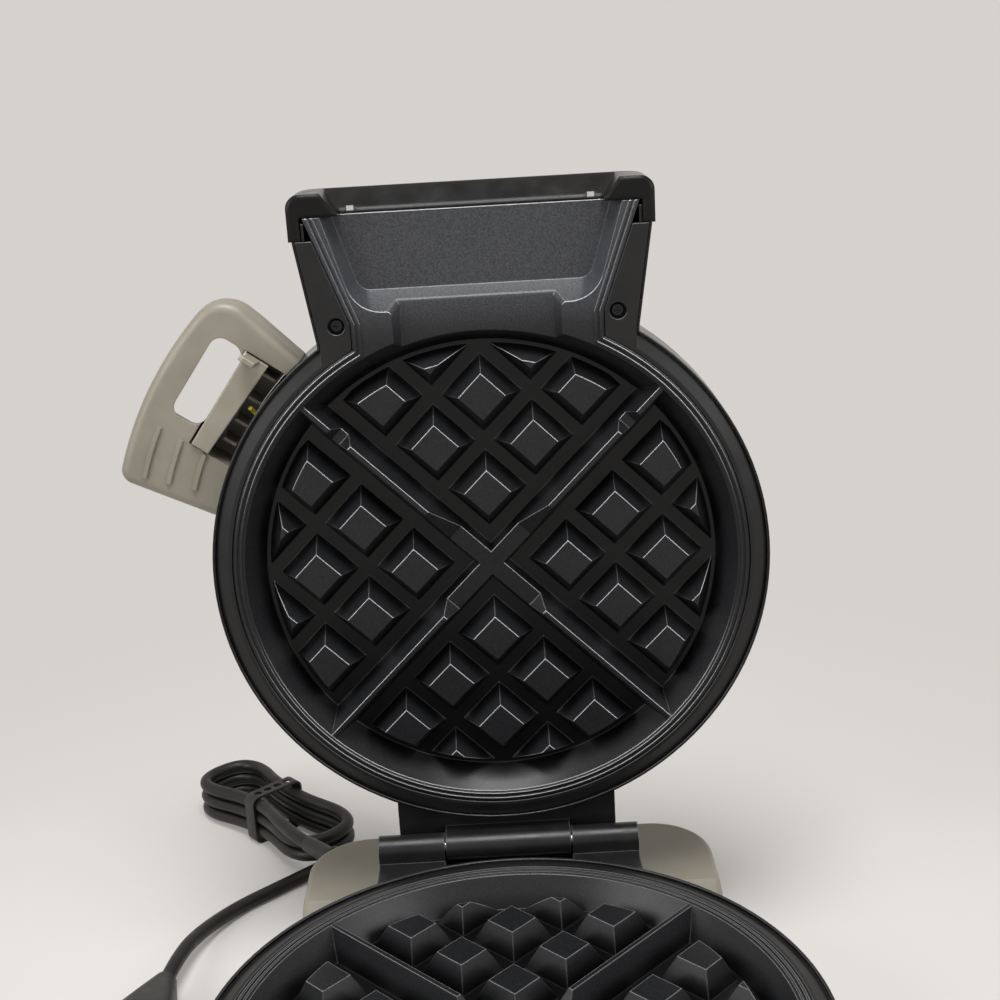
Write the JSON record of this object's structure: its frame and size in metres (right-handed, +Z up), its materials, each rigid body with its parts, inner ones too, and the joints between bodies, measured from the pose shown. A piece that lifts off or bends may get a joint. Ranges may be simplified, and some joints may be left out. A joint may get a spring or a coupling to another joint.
{
  "type": "vertical waffle maker",
  "caption": "Upright waffle maker, open: two round grid plates hinged at the bottom, a filling funnel on top, a latched side handle, and a base with knob and cord.",
  "frame": {"origin": "on the table where the middle foot stands, below the hinge and the middle of the grid plates", "axes": "+Z up, +Y toward the back of the machine, so the lid lies open toward -Y; +X away from the handle"},
  "size_m": [0.285, 0.4574, 0.3433],
  "materials": {
    "nonstick_casting": "satin speckled nonstick coating",
    "black_satin": "satin",
    "black_gloss": "gloss",
    "champagne": "fine satin",
    "squeeze_bar": "satin",
    "brushed_steel": "brushed",
    "plated_steel": "zinc plated",
    "blackened_steel": "black oxide",
    "browned_steel": "browned by heat",
    "bronze": "plain",
    "bright_clip": "bright",
    "element_steel": "heat tinted",
    "ceramic": "glazed",
    "circuit_board": "satin",
    "clear_lens": "clear",
    "black_rubber": "matte",
    "strap_rubber": "matte",
    "wire_sleeve": "woven glass sleeve",
    "blade_brass": "plain"
  },
  "bodies": {
    "stand": {"rear_plate": "nonstick_casting", "rear_bezel": "black_satin", "rear_bezel_screws": "blackened_steel", "rear_shell": "black_gloss", "rear_cover": "brushed_steel", "rear_collar_clips": "bright_clip", "rear_collar": "black_gloss", "rear_element": "element_steel", "rear_reflector": "brushed_steel", "rear_reflector_screws": "plated_steel", "rear_thermostat": "ceramic", "thermal_fuse": "ceramic", "rear_handle": "champagne", "rear_handle_screws": "plated_steel", "latch_pin": "browned_steel", "latch_spring": "browned_steel", "neck": "black_satin", "neck_screws": "plated_steel", "hinge_pin": "plated_steel", "base_housing": "champagne", "base_cover": "black_satin", "base_screws": "plated_steel", "feet": "black_rubber", "control_board": "circuit_board", "rotary_control": "black_satin", "light_lenses": "clear_lens", "terminal_block": "ceramic", "element_wires": "wire_sleeve", "strain_relief": "black_rubber", "inner_lead": "black_rubber", "cord_hank": "black_rubber", "cord_tie": "strap_rubber", "cord_tail": "black_rubber", "plug": "black_rubber", "plug_blades": "blade_brass"},
    "lid": {"front_plate": "nonstick_casting", "front_bezel": "black_satin", "front_bezel_screws": "blackened_steel", "front_cover": "brushed_steel", "front_collar_clips": "bright_clip", "front_collar": "black_gloss", "front_element": "element_steel", "front_reflector": "brushed_steel", "front_reflector_screws": "plated_steel", "front_thermostat": "ceramic", "front_shell": "black_gloss", "striker_plate": "plated_steel", "front_handle": "champagne", "front_handle_screws": "plated_steel", "hinge_ears": "black_satin", "hinge_bushes": "bronze", "hinge_screws": "plated_steel"},
    "latch_lever": {"latch_lever": "squeeze_bar"},
    "knob": {"knob": "black_gloss"}
  },
  "joints": [
    {"name": "lid_hinge", "type": "hinge", "parent": "stand", "child": "lid", "pos_m": [0, 0, 0.058], "axis": [-1, 0, 0], "range_deg": [0, 90]},
    {"name": "latch_squeeze", "type": "hinge", "parent": "stand", "child": "latch_lever", "pos_m": [-0.10315, 0.0205, 0.26094], "axis": [0.5878, 0, 0.809], "range_deg": [0, 12], "stiffness_Nm_per_rad": 0.05, "springref_deg": -11.46},
    {"name": "knob_turn", "type": "hinge", "parent": "stand", "child": "knob", "pos_m": [0, -0.054, 0.016], "axis": [0, 0, 1], "range_deg": [-140, 140]}
  ]
}
